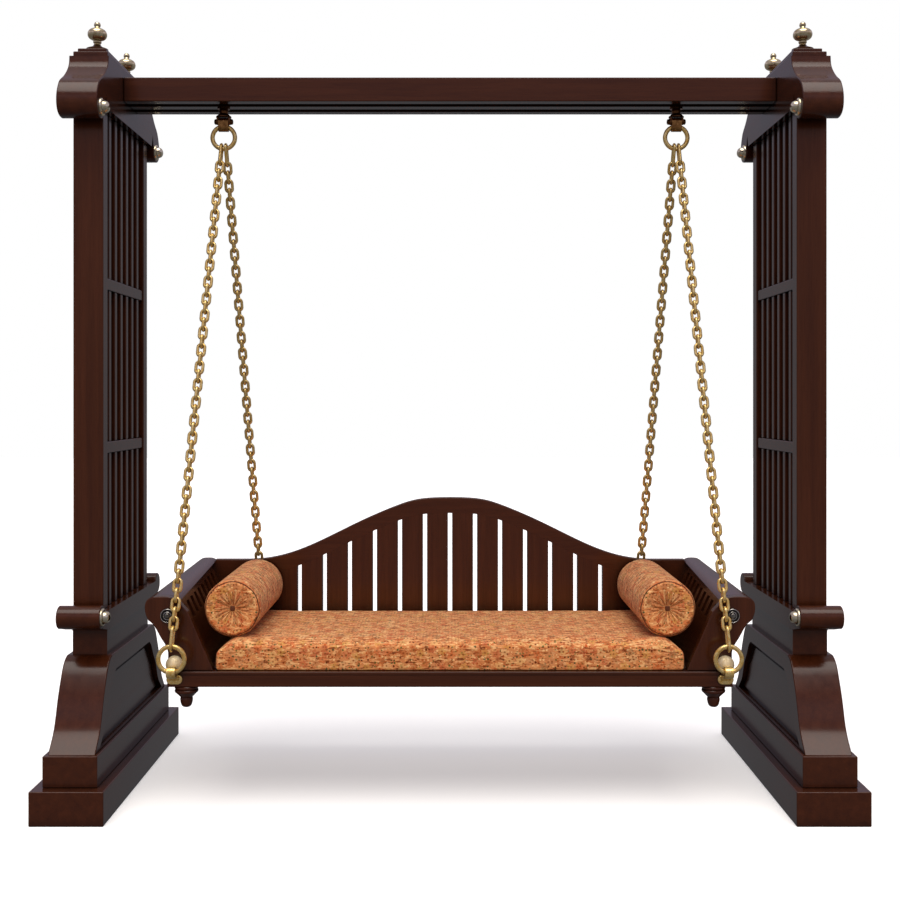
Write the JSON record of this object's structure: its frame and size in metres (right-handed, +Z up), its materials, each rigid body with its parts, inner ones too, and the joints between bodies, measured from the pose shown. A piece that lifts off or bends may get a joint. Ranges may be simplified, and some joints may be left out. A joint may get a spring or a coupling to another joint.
{
  "type": "jhoola swing",
  "caption": "Wooden jhoola: a cushioned swing seat with a camel back and flared arms, hung by chains from a beam between two scrolled, slatted towers.",
  "frame": {"origin": "on the floor, midway between the two towers and midway between their front and rear", "axes": "+X to the right of a person who faces the seat, -Y to the front, +Z up"},
  "size_m": [2.246, 0.904, 2.234],
  "materials": {
    "dark_wood": "semi-gloss dark stain and lacquer",
    "antique_brass": "satin, aged",
    "pale_brass": "antique silver-gold plate",
    "dark_steel": "darkened",
    "floral_fabric": "woven, small floral pattern"
  },
  "bodies": {
    "stand": {"plinth_left": "dark_wood", "step_block_left": "dark_wood", "pedestal_left": "dark_wood", "pedestal_panels_left": "dark_wood", "neck_block_left": "dark_wood", "base_scroll_left": "dark_wood", "front_post_left": "dark_wood", "rear_post_left": "dark_wood", "tower_slats_left": "dark_wood", "tower_rails_left": "dark_wood", "capital_left": "dark_wood", "cap_boards_left": "dark_wood", "plinth_right": "dark_wood", "step_block_right": "dark_wood", "pedestal_right": "dark_wood", "pedestal_panels_right": "dark_wood", "neck_block_right": "dark_wood", "base_scroll_right": "dark_wood", "front_post_right": "dark_wood", "rear_post_right": "dark_wood", "tower_slats_right": "dark_wood", "tower_rails_right": "dark_wood", "capital_right": "dark_wood", "cap_boards_right": "dark_wood", "finials": "pale_brass", "scroll_rosettes": "pale_brass", "beam": "dark_wood", "hanger_fork_left": "antique_brass", "hanger_fork_right": "antique_brass", "hanger_bolts": "antique_brass", "hanger_nuts": "antique_brass", "beam_fixings": "dark_steel"},
    "swing": {"hanger_straps": "antique_brass", "top_rings": "antique_brass", "top_links": "antique_brass", "chain_front_left": "antique_brass", "chain_front_right": "antique_brass", "chain_rear_left": "antique_brass", "chain_rear_right": "antique_brass", "bottom_links": "antique_brass", "bottom_rings": "antique_brass", "eye_brackets": "antique_brass", "ball_knobs": "antique_brass", "front_rail": "dark_wood", "rear_rail": "dark_wood", "side_rails": "dark_wood", "seat_deck": "dark_wood", "deck_bearers": "dark_wood", "pendant_feet": "dark_wood", "crest_rail": "dark_wood", "back_slats": "dark_wood", "back_end_panels": "dark_wood", "arm_front_boards": "dark_wood", "arm_rails": "dark_wood", "arm_panels": "dark_wood", "arm_rosettes": "dark_steel", "arm_screws": "dark_steel"},
    "cushion": {"seat_cushion": "floral_fabric"},
    "bolster_left": {"bolster_left": "floral_fabric"},
    "bolster_right": {"bolster_right": "floral_fabric"}
  },
  "joints": [
    {"name": "swing_pivot", "type": "hinge", "parent": "stand", "child": "swing", "pos_m": [0, 0, 1.98], "axis": [1, 0, 0], "range_deg": [-25, 25]},
    {"name": "cushion_lift", "type": "slide", "parent": "swing", "child": "cushion", "axis": [0, 0, 1], "range_m": [0, 0.1]},
    {"name": "bolster_left_lift", "type": "slide", "parent": "cushion", "child": "bolster_left", "axis": [0, 0, 1], "range_m": [0, 0.08]},
    {"name": "bolster_right_lift", "type": "slide", "parent": "cushion", "child": "bolster_right", "axis": [0, 0, 1], "range_m": [0, 0.08]}
  ]
}
